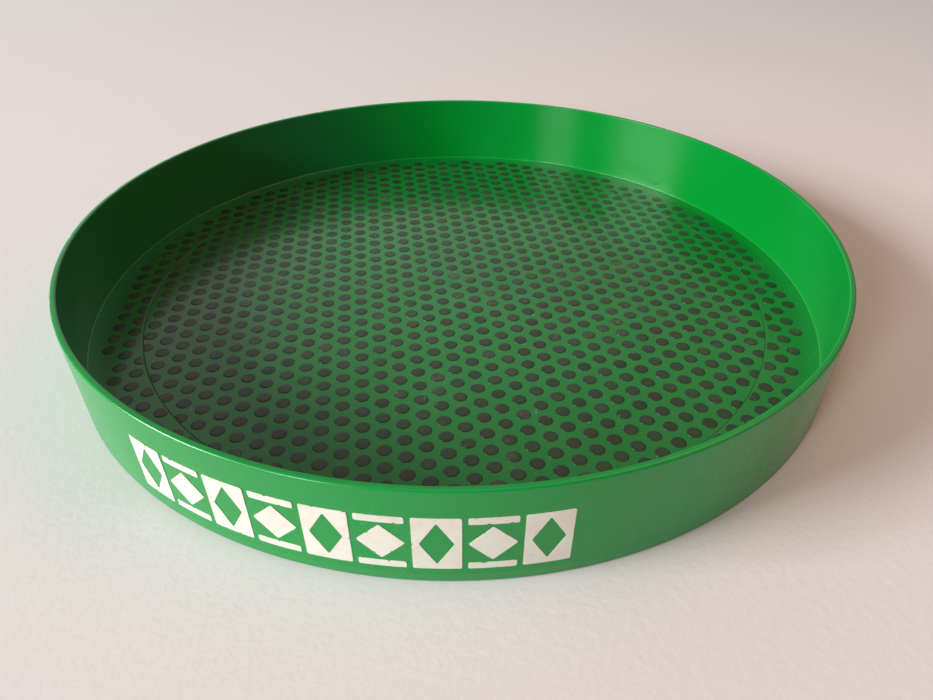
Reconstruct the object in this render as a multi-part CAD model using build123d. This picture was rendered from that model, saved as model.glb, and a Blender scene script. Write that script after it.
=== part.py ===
from build123d import *

import math
import os

# Round serving tray, injection moulded in one piece, with raised anti-slip dots on its
# floor and a plain block motif printed on the outside of its wall.
# Millimetres. +Z is up. The origin is the centre of the circle that the tray rests on,
# and -Y points at the middle of the front motif.

# Tray body
tray_radius = 160.0            # outside of the lip
tray_height = 38.0
base_radius = 159.2            # outside of the wall at the bottom, so the wall has draft
lip_inner_radius = 157.6
well_radius = 157.0            # inside of the wall where it would meet the floor
floor_top = 2.8
floor_thickness = 2.3

# Corner radii of the body's section
lip_outer_round = 0.9
lip_inner_round = 0.7
well_fillet = 0.6
base_round = 0.4
foot_round = 0.3

# Feet under the floor: a rim below the wall and a ring further in
rim_foot_width = 2.4
ring_radius = 136.0
ring_foot_width = 2.4
foot_draft = 0.4               # how much wider each flank is at the floor than at the foot

# Fine moulded line on the floor, above the ring foot
line_width = 0.8
line_depth = 0.15

# Gate mark in the middle of the underside
gate_recess_radius = 6.0
gate_recess_depth = 0.4
gate_stub_radius = 1.5
gate_stub_height = 0.3

# Anti-slip dots, a hexagonal grid centred on the tray's axis
dot_pitch = 8.37
dot_base_radius = 2.9
dot_top_radius = 2.7
dot_height = 0.18
dot_field_radius = 150.4       # no dot's centre lies further out than this
dot_grid_turn = 49.4           # degrees from +X to one row of dots
dot_centre_zone = 84.0         # radius of the innermost group of dots

# Printed motif, a row of blocks on the outside of the wall
ink_thickness = 0.12
print_bottom = 6.1
print_top = 27.6
block_count = 9
block_pitch = 5.62             # degrees
block_width = 5.0              # degrees
lozenge_margin = 2.0           # from the lozenge window to the edge of its block
bar_height = 2.6
bar_gap = 1.1                  # between a bar and the point of its lozenge
FRONT = -90.0                  # direction of the front motif, degrees
BACK = 90.0


def wall_radius(z):
    """Radius of the outside of the wall at height z."""
    return base_radius + (tray_radius - base_radius) * z / tray_height


def rounded_section(corners):
    """Closed outline through (radius, height, rounding) corners, with each corner rounded."""
    section = Polygon(*[(r, z) for r, z, _ in corners], align=None)
    for r, z, rounding in corners:
        if rounding:
            corner = section.vertices().sort_by_distance((r, z, 0))[0]
            section = fillet(corner, rounding)
    return section


def foot(inner, outer, ceiling):
    """Corners of one foot's section, from its inner flank to its outer flank."""
    return [
        (inner - foot_draft, ceiling, 0),
        (inner, 0, foot_round),
        (outer, 0, foot_round),
        (outer + foot_draft, ceiling, 0),
    ]


def make_tray_body():
    """Floor, wall, rounded lip and feet, as one revolved solid."""
    ceiling = floor_top - floor_thickness
    recess = ceiling + gate_recess_depth
    gate_mark = [
        (0, recess - gate_stub_height, 0),
        (gate_stub_radius, recess - gate_stub_height, 0),
        (gate_stub_radius, recess, 0),
        (gate_recess_radius, recess, 0),
        (gate_recess_radius, ceiling, 0),
    ]
    ring_foot = foot(ring_radius - ring_foot_width / 2, ring_radius + ring_foot_width / 2, ceiling)
    rim_foot_inner = base_radius - base_round - rim_foot_width
    wall = [
        (rim_foot_inner - foot_draft, ceiling, 0),
        (rim_foot_inner, 0, foot_round),
        (base_radius, 0, base_round),
        (tray_radius, tray_height, lip_outer_round),
        (lip_inner_radius, tray_height, lip_inner_round),
        (well_radius, floor_top, well_fillet),
    ]
    floor_line = [
        (ring_radius + line_width / 2, floor_top, 0),
        (ring_radius, floor_top - line_depth, 0),
        (ring_radius - line_width / 2, floor_top, 0),
        (0, floor_top, 0),
    ]
    section = rounded_section(gate_mark + ring_foot + wall + floor_line)
    return revolve(Plane.XZ * section, Axis.Z)


def dot_centres():
    """Centres of the hexagonal grid of dots that fits inside the dot field."""
    turn = math.radians(dot_grid_turn)
    row = (dot_pitch * math.cos(turn), dot_pitch * math.sin(turn))
    sixth = turn + math.pi / 3
    slant = (dot_pitch * math.cos(sixth), dot_pitch * math.sin(sixth))
    reach = math.ceil(dot_field_radius / dot_pitch * 2 / math.sqrt(3))
    centres = []
    for i in range(-reach, reach + 1):
        for j in range(-reach, reach + 1):
            x = i * row[0] + j * slant[0]
            y = i * row[1] + j * slant[1]
            if math.hypot(x, y) <= dot_field_radius:
                centres.append((x, y))
    return centres


def make_dots(nearest, furthest):
    """The dots between two distances from the axis, one solid each, trimmed where they meet the line."""
    on_floor = (Align.CENTER, Align.CENTER, Align.MIN)
    dot = Cone(dot_base_radius, dot_top_radius, dot_height, align=on_floor)
    inside_line = Cylinder(ring_radius - line_width / 2, tray_height)
    up_to_line = Cylinder(ring_radius + line_width / 2, tray_height)
    solids = []
    for x, y in dot_centres():
        distance = math.hypot(x, y)
        if not nearest <= distance < furthest:
            continue
        placed = Pos(x, y, 0) * dot
        if abs(distance - ring_radius) < dot_base_radius + line_width / 2:
            placed = placed & inside_line if distance < ring_radius else placed - up_to_line
        solids += placed.solids()
    return Pos(0, 0, floor_top) * Compound(solids)


def ink_block(direction, bottom, top):
    """One block of ink on the wall, between two heights, facing a direction in degrees."""
    skin = Polygon(
        (wall_radius(bottom), bottom),
        (wall_radius(bottom) + ink_thickness, bottom),
        (wall_radius(top) + ink_thickness, top),
        (wall_radius(top), top),
        align=None,
    )
    block = revolve(Plane.XZ * skin, Axis.Z, block_width)
    return Rot(0, 0, direction - block_width / 2) * block


def lozenge_cutter(direction, width, height):
    """A prism with a lozenge section that runs out through the wall in a direction."""
    centre_height = (print_bottom + print_top) / 2
    lozenge = Polygon((-width / 2, 0), (0, -height / 2), (width / 2, 0), (0, height / 2), align=None)
    outward = Vector(1, 0, 0).rotate(Axis.Z, direction)
    face_on = Plane(origin=(0, 0, centre_height), x_dir=Vector(0, 0, 1).cross(outward), z_dir=outward)
    return extrude(face_on * lozenge, tray_radius + ink_thickness)


def make_print(facing):
    """The motif: blocks with a lozenge window in turn with lozenges between two bars."""
    block_length = math.radians(block_width) * tray_radius
    print_height = print_top - print_bottom
    pieces = []
    for index in range(block_count):
        direction = facing + (index - (block_count - 1) / 2) * block_pitch
        whole = ink_block(direction, print_bottom, print_top)
        if index % 2 == 0:
            window = lozenge_cutter(
                direction, block_length - 2 * lozenge_margin, print_height - 2 * lozenge_margin
            )
            pieces.append(whole - window)
        else:
            lozenge_height = print_height - 2 * (bar_height + bar_gap)
            pieces.append(whole & lozenge_cutter(direction, block_length, lozenge_height))
            pieces.append(ink_block(direction, print_bottom, print_bottom + bar_height))
            pieces.append(ink_block(direction, print_top - bar_height, print_top))
    return Compound([solid for piece in pieces for solid in piece.solids()])


nodes = {
    "tray_body": make_tray_body(),
    "grip_dots_centre": make_dots(0, dot_centre_zone),
    "grip_dots_middle": make_dots(dot_centre_zone, ring_radius),
    "grip_dots_outer": make_dots(ring_radius, tray_radius),
    "rim_print_front": make_print(FRONT),
    "rim_print_back": make_print(BACK),
}

os.makedirs("parts", exist_ok=True)
for name, shape in nodes.items():
    shape.label = name
    export_step(shape, f"parts/{name}.step")
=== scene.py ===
import math

import bmesh
import bpy
import numpy as np
from mathutils import Matrix, Quaternion, Vector
from mathutils.geometry import delaunay_2d_cdt


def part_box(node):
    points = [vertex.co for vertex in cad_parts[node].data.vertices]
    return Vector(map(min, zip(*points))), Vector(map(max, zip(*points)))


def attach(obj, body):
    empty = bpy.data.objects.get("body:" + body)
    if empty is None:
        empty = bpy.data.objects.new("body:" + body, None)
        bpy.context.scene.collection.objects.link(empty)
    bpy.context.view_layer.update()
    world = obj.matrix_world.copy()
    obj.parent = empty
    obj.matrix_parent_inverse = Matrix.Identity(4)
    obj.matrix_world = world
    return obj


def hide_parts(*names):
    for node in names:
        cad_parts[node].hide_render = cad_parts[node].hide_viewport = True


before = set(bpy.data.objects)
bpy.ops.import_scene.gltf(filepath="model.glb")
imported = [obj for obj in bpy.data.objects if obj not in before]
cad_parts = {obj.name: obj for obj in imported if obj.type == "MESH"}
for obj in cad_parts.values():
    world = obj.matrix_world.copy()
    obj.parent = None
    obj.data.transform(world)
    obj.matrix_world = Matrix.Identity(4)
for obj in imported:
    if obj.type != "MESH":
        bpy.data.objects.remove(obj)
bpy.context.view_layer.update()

MM = 0.001
rng = np.random.default_rng(7)

# ---------------------------------------------------------------- sizes, from the frame
body_low, body_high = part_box("tray_body")
dots_low, dots_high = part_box("grip_dots_centre")
RADIUS = (body_high.x - body_low.x + body_high.y - body_low.y) / 4
HEIGHT = body_high.z
FLOOR = dots_low.z
DOT_HEIGHT = dots_high.z - dots_low.z

# Section of the body
BASE_RADIUS = RADIUS - 0.8 * MM
LIP_INNER = RADIUS - 2.4 * MM
WELL_RADIUS = RADIUS - 3.0 * MM
CEILING = FLOOR - 2.3 * MM
RING_RADIUS = 0.85 * RADIUS
FOOT_HALF_WIDTH = 1.2 * MM
FOOT_DRAFT = 0.4 * MM
GATE_RADIUS = 6.0 * MM
GATE_DEPTH = 0.4 * MM
STUB_RADIUS = 1.5 * MM
STUB_HEIGHT = 0.3 * MM
LINE_HALF_WIDTH = 0.4 * MM
LINE_DEPTH = 0.15 * MM

# Corner radii of that section
BASE_ROUND = 0.4 * MM
LIP_OUTER_ROUND = 0.9 * MM
LIP_INNER_ROUND = 0.7 * MM
WELL_FILLET = 0.6 * MM
FOOT_ROUND = 0.3 * MM
FOOT_FILLET = 0.2 * MM
STUB_ROUND = 0.1 * MM
SLIGHT_ROUND = 0.15 * MM  # at the floor line and the gate recess

# Mesh of the body
TURNS = 720              # steps round the tray
LONGEST_STEP = 22 * MM   # along the section
GUARD_STEP = 0.3 * MM    # beside each corner of the section, for clean shading

# Small faults of the body
WARP = (                 # number of waves round the wall, their size in mm, their phase
    (2, 0.09, 0.6),
    (3, 0.05, 2.1),
    (5, 0.03, 4.0),
    (9, 0.015, 1.0),
)
LIP_RISE = 0.05 * MM     # how far the lip rises and falls
LIP_RISE_PHASE = 1.9
NICKS = 26               # along the lip
NICK_REACH = 1.2 * MM    # below the lip

# Anti-slip dots
DOT_SIDES = 32
DOT_SHARE = 0.945        # mean size, as a share of the CAD outline
DOT_SHARE_RANGE = (0.92, 0.98)
DOT_CREASE = 60          # degrees between faces that stay crisp
DOT_RINGS = (            # share of the reach, share of the height, painted shade at the edge
    (1.0, -0.1, 1.0),
    (0.98, 0.50, 1.0),
    (0.94, 0.80, 1.0),
    (0.83, 0.94, 0.5),
    (0.45, 1.0, 0.0),
)

# Printed motif
INK = 0.09 * MM          # how far the ink stands off the wall
INK_ROOT = 0.05 * MM     # how far its back is sunk, so that no gap shows
BLOCKS = 9
BLOCK_SHARE = 0.89       # of the pitch that a block fills
LOZENGE_MARGIN = 2.0 * MM
BAR = 2.6 * MM
BAR_GAP = 1.1 * MM
INK_STEP = 0.7 * MM      # along the edge of a patch of ink
INK_GRID = 2.4 * MM      # between the points inside it
INK_INSET = 1.3 * MM     # from its edge to the first of those points
INK_CORNER = 0.35 * MM   # cut off each corner of a patch
INK_WAVER = 0.02 * MM    # how far its edge strays
INK_CREASE = 40          # degrees between faces that stay crisp
CHIP_SIDES = 11
SCRATCH_WIDTH = 0.07 * MM

SHEEN_SIDE = 183.0        # azimuth of the shaded side, where a grey sheen is painted on, degrees from +X


# ---------------------------------------------------------------- colours, linear RGB
# A pair is the two ends of a slow change of tone
WALL_GREENS = (0.0008, 0.246, 0.024), (0.0022, 0.268, 0.032)
FLOOR_GREENS = (0.0030, 0.165, 0.022), (0.0075, 0.192, 0.030)
OUTSIDE_GREENS = (0.0030, 0.258, 0.040), (0.0045, 0.278, 0.050)
# The next two colours are a painted grey sheen, standing in for room light reflected on the shaded
# side
WALL_SHEEN = (0.055, 0.105, 0.145)
FLOOR_SHEEN = (0.062, 0.058, 0.042)
# Painted shade, darkening the groove of the floor line
GROOVE_SHADE = (0.016, 0.030, 0.014)
SCRATCH = (0.16, 0.38, 0.20)
RUB = (0.30, 0.55, 0.34)
DUST = (0.6, 0.62, 0.55)

RUBBER_TONES = (0.013, 0.040, 0.013), (0.026, 0.060, 0.023)
RUBBER_MOTTLE = (0.040, 0.058, 0.036)
RUBBER_STAIN = (0.034, 0.026, 0.014)
# Painted shade at the edge of each dot
RUBBER_EDGE_SHADE = (0.010, 0.026, 0.010)
RUBBER_CURL = (0.28, 0.33, 0.25)
RUBBER_DUST = (0.62, 0.62, 0.55)

INK_TONES = (0.78, 0.76, 0.64), (0.79, 0.70, 0.59)
INK_PATCHES = (0.68, 0.71, 0.57)
INK_MARKS = (0.34, 0.30, 0.22)

SHEET_TONES = (0.74, 0.705, 0.695), (0.78, 0.745, 0.735)


# ---------------------------------------------------------------- node helpers
class Graph:
    """A node tree with short ways to add and join nodes."""

    def __init__(self, tree):
        self.tree = tree
        self.coordinates = self.add("ShaderNodeTexCoord").outputs
        self.place = self.coordinates["Object"]

    def add(self, kind, **settings):
        node = self.tree.nodes.new(kind)
        for key, value in settings.items():
            setattr(node, key, value)
        return node

    def feed(self, socket, value):
        """Joins an output to an input, or sets the input to a plain value."""
        if isinstance(value, bpy.types.NodeSocket):
            self.tree.links.new(value, socket)
        else:
            socket.default_value = value

    def maths(self, operation, *values):
        node = self.add("ShaderNodeMath", operation=operation)
        for socket, value in zip(node.inputs, values):
            self.feed(socket, value)
        return node.outputs[0]

    def times(self, first, second):
        return self.maths("MULTIPLY", first, second)

    def ramp(self, value, low, high, to_low=0.0, to_high=1.0):
        """A smooth step of value between low and high."""
        node = self.add("ShaderNodeMapRange", interpolation_type="SMOOTHSTEP")
        for name, item in (
            ("Value", value),
            ("From Min", low),
            ("From Max", high),
            ("To Min", to_low),
            ("To Max", to_high),
        ):
            self.feed(node.inputs[name], item)
        return node.outputs[0]

    def height(self):
        node = self.add("ShaderNodeSeparateXYZ")
        self.feed(node.inputs[0], self.place)
        return node.outputs["Z"]

    def distance_out(self):
        """Distance from the tray's axis."""
        level = self.add("ShaderNodeVectorMath", operation="MULTIPLY")
        self.feed(level.inputs[0], self.place)
        level.inputs[1].default_value = (1, 1, 0)
        length = self.add("ShaderNodeVectorMath", operation="LENGTH")
        self.feed(length.inputs[0], level.outputs["Vector"])
        return length.outputs["Value"]

    def towards(self, azimuth):
        """Signed distance from the tray's axis towards an azimuth, from +X, in degrees."""
        node = self.add("ShaderNodeVectorMath", operation="DOT_PRODUCT")
        self.feed(node.inputs[0], self.place)
        node.inputs[1].default_value = direction(azimuth, 0)
        return node.outputs["Value"]

    def stretched(self, turn, scale):
        """Coordinates turned by angles in degrees and then scaled, for marks that run one way."""
        node = self.add("ShaderNodeMapping", vector_type="TEXTURE")
        node.inputs["Rotation"].default_value = [math.radians(angle) for angle in turn]
        node.inputs["Scale"].default_value = [1 / factor for factor in scale]
        self.feed(node.inputs["Vector"], self.place)
        return node.outputs[0]

    def noise(self, scale, detail=3.0, rough=0.5, place=None):
        node = self.add("ShaderNodeTexNoise")
        self.feed(node.inputs["Vector"], place or self.place)
        node.inputs["Scale"].default_value = scale
        node.inputs["Detail"].default_value = detail
        node.inputs["Roughness"].default_value = rough
        return node.outputs["Fac"]

    def cells(self, scale, place=None, feature="F1"):
        node = self.add("ShaderNodeTexVoronoi", feature=feature)
        self.feed(node.inputs["Vector"], place or self.place)
        node.inputs["Scale"].default_value = scale
        return node.outputs["Distance"]

    def mix(self, share, first, second):
        node = self.add("ShaderNodeMix", data_type="RGBA")
        self.feed(node.inputs["Factor"], share)
        self.feed(node.inputs["A"], (*first, 1) if isinstance(first, tuple) else first)
        self.feed(node.inputs["B"], (*second, 1) if isinstance(second, tuple) else second)
        return node.outputs["Result"]

    def scratches(self, scale, turns, width, cover):
        """Fine lines that run a few ways, each broken up by noise. 1 on a line, else 0."""
        lines = 0.0
        for index, turn in enumerate(turns):
            along = self.stretched((0, 0, turn), (1, 9, 9))
            edge = self.cells(scale * (1 + 0.23 * index), along, "DISTANCE_TO_EDGE")
            line = self.ramp(edge, width, 0.0)
            patches = self.noise(scale * (0.7 + 0.1 * index), 1.0)
            broken = self.ramp(patches, 1 - cover, 1.06 - cover)
            lines = self.maths("MAXIMUM", lines, self.times(line, broken))
        return lines

    def specks(self, scale, size, cover):
        """Sparse round specks. 1 in a speck, else 0."""
        speck = self.ramp(self.cells(scale), size, size * 0.6)
        return self.times(speck, self.ramp(self.noise(scale * 0.12, 1.0), 1 - cover, 1.03 - cover))

    def bump(self, height, strength, distance, below=None):
        node = self.add("ShaderNodeBump")
        node.inputs["Strength"].default_value = strength
        node.inputs["Distance"].default_value = distance
        self.feed(node.inputs["Height"], height)
        if below is not None:
            self.feed(node.inputs["Normal"], below)
        return node.outputs["Normal"]


class Finish(Graph):
    """The graph of one surface material."""

    def __init__(self, name):
        self.material = bpy.data.materials.new(name)
        self.material.use_nodes = True
        super().__init__(self.material.node_tree)

    def done(self, colour, roughness, normal, gloss=0.5):
        shader = self.tree.nodes["Principled BSDF"]
        self.feed(shader.inputs["Specular IOR Level"], gloss)
        self.feed(shader.inputs["Base Color"], colour)
        self.feed(shader.inputs["Roughness"], roughness)
        self.feed(shader.inputs["Normal"], normal)
        return self.material


# ---------------------------------------------------------------- materials
def green_plastic():
    """Glossy moulded plastic: clean walls, faint rubs outside, a scratched floor and painted sheen
    on the shaded side.
    """
    g = Finish("green_plastic")

    # Where each part of the tray is: 1 there, 0 elsewhere
    flat = g.ramp(g.height(), FLOOR + 0.9 * MM, FLOOR + 0.2 * MM)
    topside = g.ramp(g.height(), FLOOR - 1.2 * MM, FLOOR - 0.4 * MM)
    outside = g.ramp(g.distance_out(), LIP_INNER, BASE_RADIUS)
    inner_wall = g.maths("SUBTRACT", g.maths("SUBTRACT", 1.0, outside), flat)
    inner_floor = g.times(topside, g.ramp(g.distance_out(), 0.97 * RADIUS, 0.93 * RADIUS))
    # Painted sheen: 1 on the shaded side, where a grey haze stands in for reflected room light
    painted_sheen = g.times(topside, g.ramp(g.towards(SHEEN_SIDE), 0.25 * RADIUS, 0.85 * RADIUS))

    # Greens of the walls and the floor, with a painted grey sheen on the shaded side
    shade = g.ramp(g.noise(11.0, 4.0), 0.35, 0.65)
    wall = g.mix(g.times(painted_sheen, 0.35), g.mix(shade, *WALL_GREENS), WALL_SHEEN)
    floor_tone = g.mix(g.times(painted_sheen, 0.3), g.mix(shade, *FLOOR_GREENS), FLOOR_SHEEN)
    colour = g.mix(g.times(flat, inner_floor), wall, floor_tone)
    colour = g.mix(outside, colour, g.mix(shade, *OUTSIDE_GREENS))

    # Marks of use, and painted shade along the floor line
    # Painted shade: the floor line is darkened where shade falls in its groove
    from_line = g.maths("ABSOLUTE", g.maths("SUBTRACT", g.distance_out(), RING_RADIUS))
    groove_shade = g.times(flat, g.ramp(from_line, 1.1 * LINE_HALF_WIDTH, 0.5 * LINE_HALF_WIDTH))
    colour = g.mix(g.times(groove_shade, 0.4), colour, GROOVE_SHADE)
    lines = g.times(flat, g.scratches(60.0, (12, 58, 97, 141), 0.012, 0.42))
    colour = g.mix(g.times(lines, 0.22), colour, SCRATCH)
    rubs = g.noise(9.0, 6.0, 0.7, g.stretched((0, 24, 0), (30, 30, 2)))
    rubs = g.times(g.ramp(rubs, 0.56, 0.72), g.ramp(g.noise(14.0, 2.0), 0.52, 0.62))
    rubs = g.times(rubs, outside)
    colour = g.mix(g.times(rubs, 0.10), colour, RUB)
    dust = g.times(flat, g.specks(260.0, 0.085, 0.36))
    colour = g.mix(g.times(dust, 0.7), colour, DUST)

    # Gloss and grain
    rough = g.ramp(g.noise(26.0, 5.0), 0.3, 0.7, 0.19, 0.25)
    rough = g.maths("SUBTRACT", rough, g.times(inner_wall, 0.05))
    rough = g.maths("ADD", rough, g.times(outside, 0.03))
    rough = g.maths("ADD", rough, g.times(g.maths("MAXIMUM", lines, rubs), 0.12))
    rough = g.maths("ADD", rough, g.times(groove_shade, 0.4))
    peel = g.bump(g.noise(700.0, 2.0), 0.12, 0.010 * MM)
    normal = g.bump(g.times(lines, -1.0), 0.3, 0.02 * MM, peel)
    gloss = g.maths("SUBTRACT", 0.5, g.times(inner_wall, 0.28))
    return g.done(colour, rough, normal, gloss)


def grip_rubber():
    """Dark, slightly glossy dots: each with its own tone, painted shade at its edge, curls and
    stains.
    """
    g = Finish("grip_rubber")
    each = g.add("ShaderNodeAttribute", attribute_name="dot_look")
    parts = g.add("ShaderNodeSeparateColor")
    g.feed(parts.inputs[0], each.outputs["Color"])
    tone, wear, edge = parts.outputs
    colour = g.mix(tone, *RUBBER_TONES)
    mottle = g.ramp(g.noise(520.0, 4.0, 0.65), 0.40, 0.64)
    colour = g.mix(g.times(mottle, 0.45), colour, RUBBER_MOTTLE)
    stain = g.ramp(g.noise(30.0, 2.0), 0.58, 0.68)
    colour = g.mix(g.times(stain, 0.7), colour, RUBBER_STAIN)
    # Painted shade: each dot darkens towards its edge
    colour = g.mix(g.times(edge, 0.7), colour, RUBBER_EDGE_SHADE)
    curls = g.scratches(150.0, (25, 76, 128), 0.03, 0.47)
    curls = g.times(curls, g.ramp(wear, 0.55, 0.9))
    colour = g.mix(g.times(curls, 0.5), colour, RUBBER_CURL)
    dust = g.specks(380.0, 0.09, 0.38)
    colour = g.mix(g.times(dust, 0.8), colour, RUBBER_DUST)
    rough = g.ramp(g.noise(300.0, 3.0), 0.3, 0.7, 0.24, 0.34)
    rough = g.maths("ADD", rough, g.times(wear, 0.06))
    grain = g.bump(g.noise(2300.0, 2.0), 0.14, 0.02 * MM)
    normal = g.bump(g.maths("ADD", mottle, g.times(curls, 2.0)), 0.2, 0.03 * MM, grain)
    return g.done(colour, rough, normal, 0.4)


def cream_ink():
    """Screen-printed ink, a little uneven in tone and thinly crazed."""
    g = Finish("cream_ink")
    colour = g.mix(g.ramp(g.noise(140.0, 3.0), 0.42, 0.62), *INK_TONES)
    colour = g.mix(g.ramp(g.noise(60.0, 2.0), 0.55, 0.75), colour, INK_PATCHES)
    crack = g.ramp(g.cells(240.0, feature="DISTANCE_TO_EDGE"), 0.03, 0.0)
    crack = g.times(crack, g.ramp(g.noise(70.0, 2.0), 0.52, 0.66))
    smudge = g.ramp(g.noise(420.0, 3.0), 0.62, 0.74)
    marks = g.maths("MAXIMUM", g.times(crack, 0.35), g.times(smudge, 0.18))
    colour = g.mix(marks, colour, INK_MARKS)
    rough = g.ramp(g.noise(180.0, 3.0), 0.3, 0.7, 0.38, 0.52)
    normal = g.bump(g.noise(1400.0, 3.0), 0.2, 0.02 * MM)
    return g.done(colour, rough, normal)


def pale_sheet():
    """The matt, slightly rough sheet under the tray."""
    g = Finish("pale_sheet")
    colour = g.mix(g.noise(3.0, 3.0), *SHEET_TONES)
    normal = g.bump(g.noise(330.0, 3.0), 0.25, 0.4 * MM)
    return g.done(colour, 0.6, normal)


# ---------------------------------------------------------------- mesh helpers
def add_piece(name, mesh, material, stands_for):
    """Puts a finished mesh into the scene in place of CAD nodes."""
    mesh.materials.append(material)
    mesh.shade_smooth()
    piece = bpy.data.objects.new(name, mesh)
    bpy.context.scene.collection.objects.link(piece)
    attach(piece, "root")
    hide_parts(stands_for)


def sharpen(mesh, degrees):
    """Marks the edges that turn by more than an angle, so that they stay crisp."""
    work = bmesh.new()
    work.from_mesh(mesh)
    limit = math.radians(degrees)
    for edge in work.edges:
        if len(edge.link_faces) == 2:
            edge.smooth = edge.calc_face_angle() < limit
    work.to_mesh(mesh)
    work.free()


def rounded(corners):
    """Open outline through (radius, height, rounding) corners, with arcs at the rounded ones."""
    points = []
    for index, (r, z, rounding) in enumerate(corners):
        corner = Vector((r, z))
        if not rounding:
            points.append(corner)
            continue
        steps = 8 if rounding > 0.5 * MM else 4
        before = (Vector(corners[index - 1][:2]) - corner).normalized()
        after = (Vector(corners[index + 1][:2]) - corner).normalized()
        half = before.angle(after) / 2
        centre = corner + (before + after).normalized() * rounding / math.sin(half)
        start = corner + before * rounding / math.tan(half) - centre
        sweep = start.angle_signed(corner + after * rounding / math.tan(half) - centre)
        for step in range(steps + 1):
            points.append(centre + Matrix.Rotation(-sweep * step / steps, 2) @ start)
    return points


def divided(points):
    """The same outline with its long runs cut into steps, and a short step beside each corner."""
    result = [points[0]]
    for a, b in zip(points, points[1:]):
        length = (b - a).length
        last = []
        if length > 4 * GUARD_STEP:
            last = [b]
            a, b = a.lerp(b, GUARD_STEP / length), b.lerp(a, GUARD_STEP / length)
            result.append(a)
        count = max(1, math.ceil((b - a).length / LONGEST_STEP))
        result += [a.lerp(b, (k + 1) / count) for k in range(count)] + last
    return result


# ---------------------------------------------------------------- tray body
def foot(inner, outer):
    """Corners of one foot's section, from its inner flank to its outer flank."""
    return [
        (inner - FOOT_DRAFT, CEILING, FOOT_FILLET),
        (inner, 0, FOOT_ROUND),
        (outer, 0, FOOT_ROUND),
        (outer + FOOT_DRAFT, CEILING, FOOT_FILLET),
    ]


def body_section():
    """Half section, from the middle of the underside round to the middle of the floor."""
    recess = CEILING + GATE_DEPTH
    gate_mark = [
        (0, recess - STUB_HEIGHT, 0),
        (STUB_RADIUS, recess - STUB_HEIGHT, STUB_ROUND),
        (STUB_RADIUS, recess, STUB_ROUND),
        (GATE_RADIUS, recess, SLIGHT_ROUND),
        (GATE_RADIUS, CEILING, SLIGHT_ROUND),
    ]
    ring_foot = foot(RING_RADIUS - FOOT_HALF_WIDTH, RING_RADIUS + FOOT_HALF_WIDTH)
    rim_inner = BASE_RADIUS - BASE_ROUND - 2 * FOOT_HALF_WIDTH
    wall = [
        (rim_inner - FOOT_DRAFT, CEILING, FOOT_FILLET),
        (rim_inner, 0, FOOT_ROUND),
        (BASE_RADIUS, 0, BASE_ROUND),
        (RADIUS, HEIGHT, LIP_OUTER_ROUND),
        (LIP_INNER, HEIGHT, LIP_INNER_ROUND),
        (WELL_RADIUS, FLOOR, WELL_FILLET),
    ]
    floor_line = [
        (RING_RADIUS + LINE_HALF_WIDTH, FLOOR, SLIGHT_ROUND),
        (RING_RADIUS, FLOOR - LINE_DEPTH, SLIGHT_ROUND),
        (RING_RADIUS - LINE_HALF_WIDTH, FLOOR, SLIGHT_ROUND),
        (0, FLOOR, 0),
    ]
    return gate_mark + ring_foot + wall + floor_line


def warped(r, z, turn):
    """The section's radii and heights at every turn, with the wall a little out of true."""
    high = np.clip(z / HEIGHT, 0, 1)
    wave = sum(size * np.cos(count * turn + phase) for count, size, phase in WARP)
    out = r + wave * MM * high * (r / RADIUS) ** 6
    up = z + LIP_RISE * np.cos(2 * turn + LIP_RISE_PHASE) * (r / RADIUS) ** 4 * high
    return out, up


def nicked(out, up, r, z, turn):
    """The same radii and heights with small dents along the lip."""
    at_edge = np.exp(-(((z - HEIGHT) / NICK_REACH) ** 2))
    side = np.where(r > (RADIUS + LIP_INNER) / 2, -1.0, 0.4)
    for _ in range(NICKS):
        where = rng.uniform(0, 2 * math.pi)
        width = rng.uniform(0.5, 1.6) * MM / RADIUS
        depth = rng.uniform(0.04, 0.16) * MM
        away = np.angle(np.exp(1j * (turn - where))) / width
        dent = depth * np.exp(-away**2) * at_edge
        out = out + dent * side
        up = up - dent * 0.7
    return out, up


def shell_faces(rows):
    """Faces between neighbouring rings of points, and a fan at each end of the section."""
    under, top = rows * TURNS, rows * TURNS + 1
    faces = []
    for k in range(TURNS):
        n = (k + 1) % TURNS
        faces.append((under, n, k))
        faces.append((top, (rows - 1) * TURNS + k, (rows - 1) * TURNS + n))
        for row in range(rows - 1):
            a, b = row * TURNS, (row + 1) * TURNS
            faces.append((a + k, a + n, b + n, b + k))
    return faces


def make_body(material):
    """The moulded shell, turned from its section, a little out of true and nicked at the lip."""
    section = divided(rounded(body_section()))
    r = np.array([p.x for p in section])[1:-1, None]
    z = np.array([p.y for p in section])[1:-1, None]
    turn = np.linspace(0, 2 * math.pi, TURNS, endpoint=False)[None, :]
    out, up = warped(r, z, turn)
    out, up = nicked(out, up, r, z, turn)
    rings = np.stack([out * np.cos(turn), out * np.sin(turn), up], -1)
    ends = [(0, 0, section[0].y), (0, 0, section[-1].y)]
    points = np.concatenate([rings.reshape(-1, 3), ends])
    mesh = bpy.data.meshes.new("tray_shell")
    mesh.from_pydata(points.tolist(), [], shell_faces(len(r)))
    add_piece("tray_shell", mesh, material, "tray_body")


# ---------------------------------------------------------------- anti-slip dots
def is_underneath(face):
    return face.normal.z < -0.9


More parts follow.
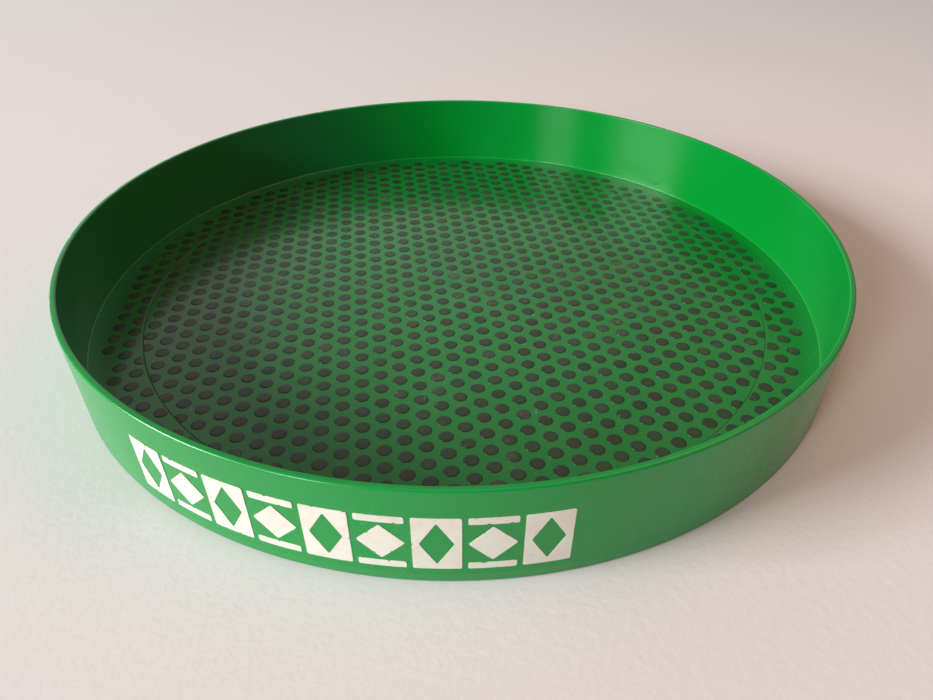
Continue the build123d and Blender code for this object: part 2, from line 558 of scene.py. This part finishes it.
def dot_outlines(node):
    """The outline on the floor of each separate dot in a CAD node, as an array of corners."""
    work = bmesh.new()
    work.from_mesh(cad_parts[node].data)
    bmesh.ops.remove_doubles(work, verts=work.verts, dist=0.001 * MM)
    after = {}
    for face in filter(is_underneath, work.faces):
        for loop in face.loops:
            if not all(is_underneath(other) for other in loop.edge.link_faces):
                after[loop.link_loop_next.vert] = loop.vert
    outlines = []
    while after:
        start, vert = after.popitem()
        corners = [start]
        while vert is not start:
            corners.append(vert)
            vert = after.pop(vert)
        outlines.append(np.array([corner.co[:2] for corner in corners]))
    work.free()
    return outlines


def cross(a, b):
    return a[..., 0] * b[..., 1] - a[..., 1] * b[..., 0]


def middle_of(outline):
    """Centroid of the area inside an outline."""
    ahead = np.roll(outline, -1, 0)
    weight = cross(outline, ahead)
    return ((outline + ahead) * weight[:, None]).sum(0) / (3 * weight.sum())


def reaches(outline, middle, directions):
    """Distance from the middle to the outline in each direction."""
    side = np.roll(outline, -1, 0) - outline
    start = outline - middle
    spread = cross(directions[:, None], side)
    spread = np.where(spread == 0, np.inf, spread)
    distance = cross(start, side) / spread
    share = cross(start, directions[:, None]) / spread
    hit = (distance > 0) & (share > -1e-6) & (share < 1 + 1e-6)
    return np.where(hit, distance, np.inf).min(1)


def dot_arms(node):
    """Middle of each dot, and the arms from it to its slightly uneven outline."""
    turn = np.linspace(0, 2 * math.pi, DOT_SIDES, endpoint=False)
    directions = np.stack([np.cos(turn), np.sin(turn)], -1)
    outlines = dot_outlines(node)
    count = len(outlines)
    middle = np.array([middle_of(outline) for outline in outlines])
    reach = np.array([reaches(o, m, directions) for o, m in zip(outlines, middle)])
    wobble = rng.normal(DOT_SHARE, 0.01, (count, 1)) + sum(
        rng.normal(0, 0.005, (count, 1)) * np.cos(k * turn + rng.uniform(0, 6.28, (count, 1)))
        for k in (2, 3, 4, 5)
    )
    return middle, (reach * wobble.clip(*DOT_SHARE_RANGE))[..., None] * directions


def dot_points(middle, arm):
    """Points of every dot, ring by ring and then its middle, with its own height and tilt."""
    count = len(middle)
    height = DOT_HEIGHT * rng.uniform(0.75, 1.0, (count, 1))
    lean = rng.normal(0, 0.012, (count, 1, 2))
    points = []
    for share, level, _ in DOT_RINGS:
        tilt = (arm * lean).sum(-1) * share * max(level, 0)
        z = FLOOR + height * level + tilt
        points.append(np.concatenate([middle[:, None] + arm * share, z[..., None]], -1))
    points.append(np.concatenate([middle, FLOOR + height], 1)[:, None])
    return np.concatenate(points, 1)


def dot_faces(count):
    """Faces of every dot: a flat back, rows of sides between its rings, and a fan at the middle."""
    last = (len(DOT_RINGS) - 1) * DOT_SIDES
    middle = last + DOT_SIDES
    pattern = [tuple(reversed(range(DOT_SIDES)))]
    for k in range(DOT_SIDES):
        n = (k + 1) % DOT_SIDES
        for a in range(0, last, DOT_SIDES):
            b = a + DOT_SIDES
            pattern.append((a + k, a + n, b + n, b + k))
        pattern.append((last + k, last + n, middle))
    per_dot = middle + 1
    return [tuple(i * per_dot + v for v in face) for i in range(count) for face in pattern]


def make_dots(name, node, material):
    """Every dot with its own slight size, height, tilt, outline and wear."""
    middle, arm = dot_arms(node)
    points = dot_points(middle, arm)
    count, per_dot, _ = points.shape
    mesh = bpy.data.meshes.new(name)
    mesh.from_pydata(points.reshape(-1, 3).tolist(), [], dot_faces(count))

    # Red holds the dot's tone, green its wear and blue how much painted shade its edge gets
    look = np.ones((count, per_dot, 4), np.float32)
    look[..., 0] = rng.uniform(0, 1, (count, 1))
    look[..., 1] = rng.uniform(0, 1, (count, 1)) ** 1.5
    look[..., 2] = [edge_shade for _, _, edge_shade in DOT_RINGS for _ in range(DOT_SIDES)] + [0.0]
    layer = mesh.attributes.new("dot_look", "FLOAT_COLOR", "POINT")
    layer.data.foreach_set("color", look.ravel())
    add_piece(name, mesh, material, node)
    sharpen(mesh, DOT_CREASE)


# ---------------------------------------------------------------- printed motif
def softened(loop):
    """A closed outline with its corners rounded a little and short, slightly uneven steps."""
    points = [Vector(p) for p in loop]
    for _ in range(2):
        cut = []
        for a, b in zip(points, points[1:] + points[:1]):
            share = min(0.25, INK_CORNER / max((b - a).length, 1e-9))
            cut += [a.lerp(b, share), a.lerp(b, 1 - share)]
        points = cut
    result = []
    for a, b in zip(points, points[1:] + points[:1]):
        count = max(1, round((b - a).length / INK_STEP))
        side = Vector((a.y - b.y, b.x - a.x)).normalized()
        for k in range(count):
            result.append(a.lerp(b, k / count) + side * rng.normal(0, INK_WAVER))
    return result


def inside(point, loop):
    """True if a point is inside a closed outline."""
    crossings = 0
    for a, b in zip(loop, loop[1:] + loop[:1]):
        if (a.y > point.y) != (b.y > point.y):
            crossings += point.x < a.x + (point.y - a.y) / (b.y - a.y) * (b.x - a.x)
    return crossings % 2 == 1


def chip(middle, size, stretch=1.0, turn=0.0):
    """An uneven patch where ink has come off."""
    loop = []
    for k in range(CHIP_SIDES):
        angle = 2 * math.pi * k / CHIP_SIDES
        reach = size * rng.uniform(0.6, 1.15)
        arm = Vector((math.cos(angle) * reach * stretch, math.sin(angle) * reach))
        loop.append(Vector(middle) + Matrix.Rotation(turn, 2) @ arm)
    return loop


def filled(outline, holes):
    """Points and triangles that fill an outline, less its holes."""
    points, polygons = [], []
    for loop in [outline] + holes:
        polygons.append(list(range(len(points), len(points) + len(loop))))
        points += loop
    xs = [p.x for p in outline]
    ys = [p.y for p in outline]
    for x in np.arange(min(xs) + INK_INSET, max(xs), INK_GRID):
        for y in np.arange(min(ys) + INK_INSET, max(ys), INK_GRID):
            points.append(Vector((x, y)))
    flat, _, triangles, *_ = delaunay_2d_cdt(points, [], polygons, 0, 1e-7)
    kept = []
    for triangle in triangles:
        middle = sum((flat[i] for i in triangle), Vector((0, 0))) / 3
        if inside(middle, outline) and not any(inside(middle, hole) for hole in holes):
            kept.append(triangle)
    return flat, kept


def on_wall(point, off, heading):
    """Where a point of the flat motif lies on the wall, at a distance off it."""
    wall = BASE_RADIUS + (RADIUS - BASE_RADIUS) * point.y / HEIGHT + off
    angle = heading + point.x / RADIUS
    return (wall * math.cos(angle), wall * math.sin(angle), point.y)


def ink_patch(work, outline, holes, heading):
    """Adds one closed patch of ink to a bmesh: the outline less its holes, laid on the wall."""
    flat, triangles = filled(outline, holes)
    inner_floor = sorted({i for triangle in triangles for i in triangle})
    front = {i: work.verts.new(on_wall(flat[i], INK, heading)) for i in inner_floor}
    back = {i: work.verts.new(on_wall(flat[i], -INK_ROOT, heading)) for i in inner_floor}
    rim = {}
    for a, b, c in triangles:
        work.faces.new((front[a], front[b], front[c]))
        work.faces.new((back[c], back[b], back[a]))
        for pair in ((a, b), (b, c), (c, a)):
            if pair[::-1] in rim:
                del rim[pair[::-1]]
            else:
                rim[pair] = True
    for a, b in rim:
        work.faces.new((front[b], front[a], back[a], back[b]))


def motif_shapes(width, bottom, top, index):
    """(outline, holes) of each ink patch in one block, centred on x = 0."""
    half = width / 2
    middle = (bottom + top) / 2

    def slab(low, high):
        return [(-half, low), (half, low), (half, high), (-half, high)]

    def lozenge(across, tall):
        return [(-across, middle), (0, middle - tall), (across, middle), (0, middle + tall)]

    if index % 2 == 0:
        window = lozenge(half - LOZENGE_MARGIN, (top - bottom) / 2 - LOZENGE_MARGIN)
        return [(slab(bottom, top), [window])]
    tall = (top - bottom) / 2 - BAR - BAR_GAP
    return [
        (lozenge(half, tall), []),
        (slab(bottom, bottom + BAR), []),
        (slab(top - BAR, top), []),
    ]


def scratches_through(width, bottom, top):
    """One or two long thin gaps in the ink of one block."""
    gaps = []
    for _ in range(int(rng.integers(1, 3))):
        spot = (rng.uniform(-width, width) * 0.45, rng.uniform(bottom, top))
        gaps.append(chip(spot, SCRATCH_WIDTH, rng.uniform(14, 42), rng.uniform(0.3, 0.9)))
    return gaps


def chips_along(edge):
    """A few small bites out of the edge of a patch of ink."""
    bites = []
    for _ in range(int(rng.integers(1, 4))):
        spot = edge[int(rng.integers(len(edge)))]
        size = rng.uniform(0.15, 0.42) * MM
        bites.append(chip(spot, size, rng.uniform(1, 2), rng.uniform(0, 3)))
    return bites


def make_motif(name, node, material):
    """The row of blocks, laid on the wall, with chipped edges and scratches through the ink."""
    low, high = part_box(node)
    facing = math.copysign(math.pi / 2, low.y + high.y)
    span = 2 * math.asin(high.x / RADIUS)
    pitch = span / (BLOCKS - 1 + BLOCK_SHARE)
    width = pitch * BLOCK_SHARE * RADIUS
    work = bmesh.new()
    for index in range(BLOCKS):
        heading = facing + (index - (BLOCKS - 1) / 2) * pitch
        scratches = scratches_through(width, low.z, high.z)
        for outline, holes in motif_shapes(width, low.z, high.z, index):
            edge = softened(outline)
            gaps = [softened(hole) for hole in holes] + chips_along(edge) + scratches
            ink_patch(work, edge, gaps, heading)
    mesh = bpy.data.meshes.new(name)
    work.to_mesh(mesh)
    work.free()
    add_piece(name, mesh, material, node)
    sharpen(mesh, INK_CREASE)


# ---------------------------------------------------------------- stage, light and camera
SHEET_SIZE = 6.0
SHEET_GAP = 0.2 * MM     # below the feet


def make_floor():
    bpy.ops.mesh.primitive_plane_add(size=SHEET_SIZE, location=(0, 0, -SHEET_GAP))
    floor = bpy.context.object
    floor.name = "floor"
    floor.data.materials.append(pale_sheet())


CAMERA_AZIMUTH = 13.3    # from +X to the right-hand side of the picture, degrees
CAMERA_ELEVATION = 31.62
CAMERA_REACH = 2.127     # distance from the origin, in tray radii
PAN, TILT, ROLL = 0.81, -4.62, -0.37
SENSOR_WIDTH = 36.0      # millimetres
FOCAL_LENGTH = 28.2096   # millimetres


def direction(azimuth, elevation):
    """Unit vector from the tray towards an azimuth, from +X, and an elevation, both in degrees."""
    azimuth, elevation = math.radians(azimuth), math.radians(elevation)
    level = math.cos(elevation)
    return Vector((math.cos(azimuth) * level, math.sin(azimuth) * level, math.sin(elevation)))


def area_light(name, azimuth, elevation, distance, size, power, colour):
    """A soft rectangular light that shines at the tray."""
    out = direction(CAMERA_AZIMUTH + azimuth, elevation)
    data = bpy.data.lights.new(name, "AREA")
    data.shape = "RECTANGLE"
    data.size, data.size_y = size
    data.energy = power
    data.color = colour
    light = bpy.data.objects.new(name, data)
    light.location = out * distance
    light.rotation_mode = "QUATERNION"
    light.rotation_quaternion = (-out).to_track_quat("-Z", "Y")
    bpy.context.scene.collection.objects.link(light)


def make_camera():
    """Stands where the picture was taken from, aimed just below the tray's middle."""
    out = direction(CAMERA_AZIMUTH - 90, CAMERA_ELEVATION)
    data = bpy.data.cameras.new("camera")
    data.sensor_width = SENSOR_WIDTH
    data.lens = FOCAL_LENGTH
    data.clip_start = 0.01
    camera = bpy.data.objects.new("camera", data)
    camera.location = out * CAMERA_REACH * RADIUS
    camera.rotation_mode = "QUATERNION"
    camera.rotation_quaternion = (
        (-out).to_track_quat("-Z", "Y")
        @ Quaternion((0, 1, 0), math.radians(-PAN))
        @ Quaternion((1, 0, 0), math.radians(TILT))
        @ Quaternion((0, 0, 1), math.radians(ROLL))
    )
    bpy.context.scene.collection.objects.link(camera)
    bpy.context.scene.camera = camera


# Soft patches of light round the room: azimuth to the right of the picture, elevation and
# breadth in degrees, and colour
ROOM_LIGHTS = (
    (60, 12, 32, (0.16, 0.13, 0.10)),
    (90, 12, 32, (0.68, 0.68, 0.67)),
    (120, 12, 32, (0.68, 0.68, 0.67)),
    (60, 38, 32, (0.14, 0.12, 0.10)),
    (90, 38, 32, (0.34, 0.33, 0.33)),
    (120, 38, 32, (0.30, 0.29, 0.28)),
    (0, 90, 40, (0.92, 0.85, 0.78)),
    (0, 38, 32, (1.00, 0.55, 0.32)),
    (15, 15, 40, (0.24, 0.08, 0.03)),
)
ROOM_SHADE = (0.02, 0.02, 0.02)
BACKDROP = (0.80, 0.76, 0.73)  # seen by the camera only

# Lamps: azimuth to the right of the picture and elevation in degrees, distance, size, power
# and colour
LAMPS = {
    "window": (-164, 23.6, 4.5, (1.8, 1.28), 246, (0.98, 1.0, 1.03)),
    "side_window": (-129, 19.6, 4.5, (0.90, 1.35), 80, (0.98, 1.0, 1.04)),
    "warm_lamp": (14, 60, 0.60, (0.25, 0.25), 0.42, (1.0, 0.34, 0.06)),
}


def make_world():
    """A dim room with soft bright patches, mostly behind the tray, and a pale backdrop."""
    world = bpy.data.worlds.new("room")
    bpy.context.scene.world = world
    world.use_nodes = True
    g = Graph(world.node_tree)
    total = ROOM_SHADE
    for azimuth, elevation, breadth, colour in ROOM_LIGHTS:
        facing = g.add("ShaderNodeVectorMath", operation="DOT_PRODUCT")
        g.feed(facing.inputs[0], g.coordinates["Generated"])
        facing.inputs[1].default_value = direction(CAMERA_AZIMUTH + azimuth, elevation)
        fall = math.log(2) / (1 - math.cos(math.radians(breadth / 2)))
        away = g.times(g.maths("SUBTRACT", facing.outputs["Value"], 1.0), fall)
        patch = g.add("ShaderNodeVectorMath", operation="MULTIPLY_ADD")
        patch.inputs[0].default_value = colour
        g.feed(patch.inputs[1], g.maths("EXPONENT", away))
        g.feed(patch.inputs[2], total)
        total = patch.outputs["Vector"]
    by_camera = g.add("ShaderNodeLightPath").outputs["Is Camera Ray"]
    g.feed(world.node_tree.nodes["Background"].inputs["Color"], g.mix(by_camera, total, BACKDROP))


make_body(green_plastic())
rubber = grip_rubber()
for zone in ("centre", "middle", "outer"):
    make_dots(f"dots_{zone}", f"grip_dots_{zone}", rubber)
ink = cream_ink()
make_motif("motif_front", "rim_print_front", ink)
make_motif("motif_back", "rim_print_back", ink)
make_floor()
make_world()
for name, lamp in LAMPS.items():
    area_light(name, *lamp)
make_camera()
bpy.context.scene.view_settings.view_transform = "Standard"
